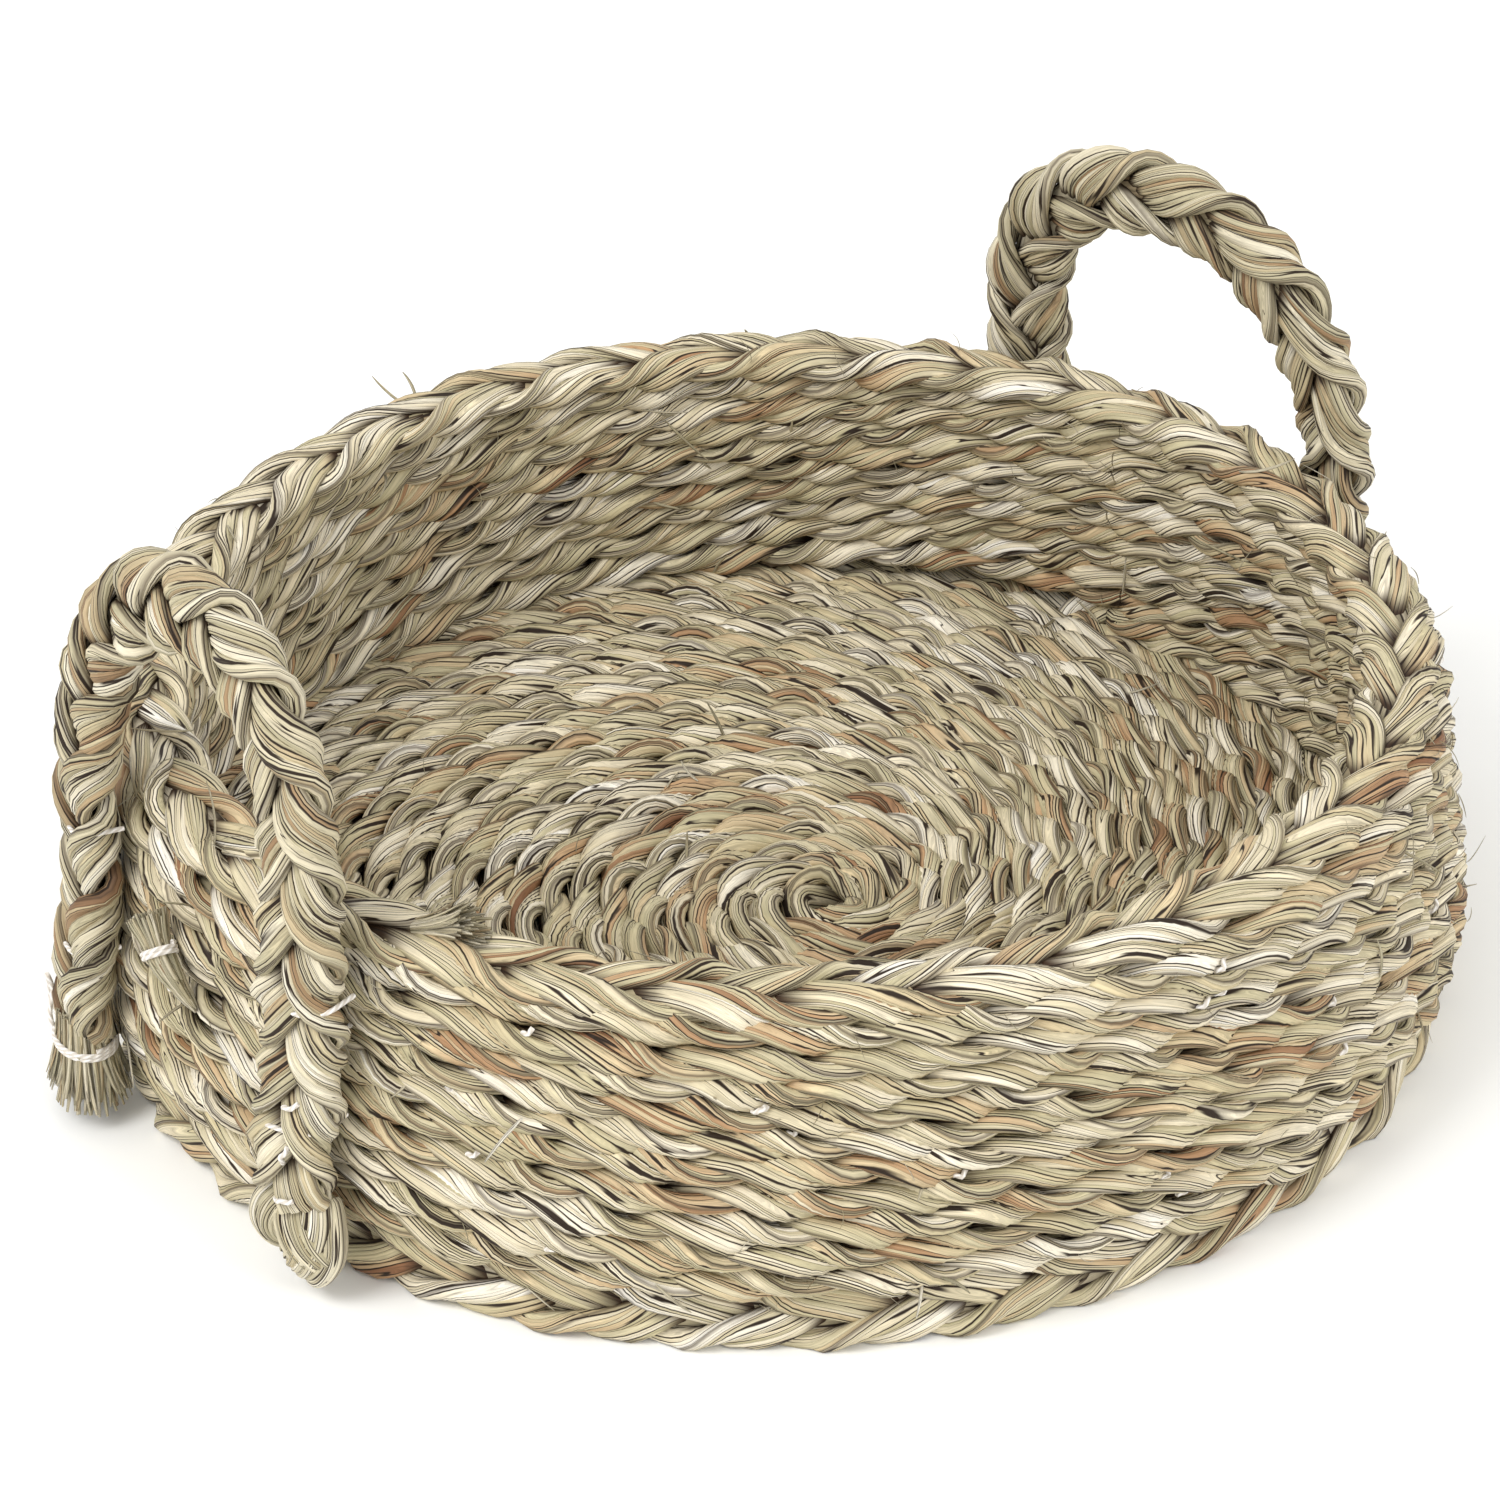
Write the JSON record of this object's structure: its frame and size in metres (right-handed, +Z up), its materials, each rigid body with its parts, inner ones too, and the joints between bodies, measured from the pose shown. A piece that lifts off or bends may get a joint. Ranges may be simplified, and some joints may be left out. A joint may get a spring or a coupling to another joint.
{
  "type": "seagrass storage basket",
  "caption": "Round shallow storage basket, coiled and sewn from plaited seagrass, with a plaited loop handle at each end that bends in and out.",
  "frame": {"origin": "centre of the underside, on the surface that the basket stands on", "axes": "+Z up; +X along the line through the two handles, from handle B towards handle A; +Y across it"},
  "size_m": [0.4604, 0.4238, 0.2027],
  "materials": {
    "body_plait": "matte",
    "base_plait": "matte",
    "handle_plait": "matte",
    "cotton_thread": "matte"
  },
  "bodies": {
    "basket": {"base_coil": "base_plait", "foot_round": "body_plait", "handle_a_left_binding": "cotton_thread", "handle_a_left_brush": "handle_plait", "handle_a_left_leg": "handle_plait", "handle_a_left_tie_lower": "cotton_thread", "handle_a_left_tie_upper": "cotton_thread", "handle_a_right_fold": "handle_plait", "handle_a_right_leg": "handle_plait", "handle_a_right_tie_lower": "cotton_thread", "handle_a_right_tie_upper": "cotton_thread", "handle_b_left_binding": "cotton_thread", "handle_b_left_brush": "handle_plait", "handle_b_left_leg": "handle_plait", "handle_b_left_tie_lower": "cotton_thread", "handle_b_left_tie_upper": "cotton_thread", "handle_b_right_fold": "handle_plait", "handle_b_right_leg": "handle_plait", "handle_b_right_tie_lower": "cotton_thread", "handle_b_right_tie_upper": "cotton_thread", "rim_end_binding": "cotton_thread", "rim_end_brush": "body_plait", "rim_round": "body_plait", "wall_round_01": "body_plait", "wall_round_02": "body_plait", "wall_round_03": "body_plait", "wall_round_04": "body_plait", "wall_round_05": "body_plait", "wall_round_06": "body_plait", "wall_round_07": "body_plait", "wall_round_08": "body_plait", "wall_round_09": "body_plait", "wall_round_10": "body_plait"},
    "handle_a_loop": {"handle_a_arch": "handle_plait"},
    "handle_b_loop": {"handle_b_arch": "handle_plait"}
  },
  "joints": [
    {"name": "handle_a_bend", "type": "hinge", "parent": "basket", "child": "handle_a_loop", "pos_m": [0.20186, 0.023, 0.1225], "axis": [-0.1132, 0.9936, 0], "range_deg": [-35, 35], "stiffness_Nm_per_rad": 0.6},
    {"name": "handle_b_bend", "type": "hinge", "parent": "basket", "child": "handle_b_loop", "pos_m": [-0.20284, 0.02311, 0.1225], "axis": [-0.1132, -0.9936, 0], "range_deg": [-35, 35], "stiffness_Nm_per_rad": 0.6}
  ]
}
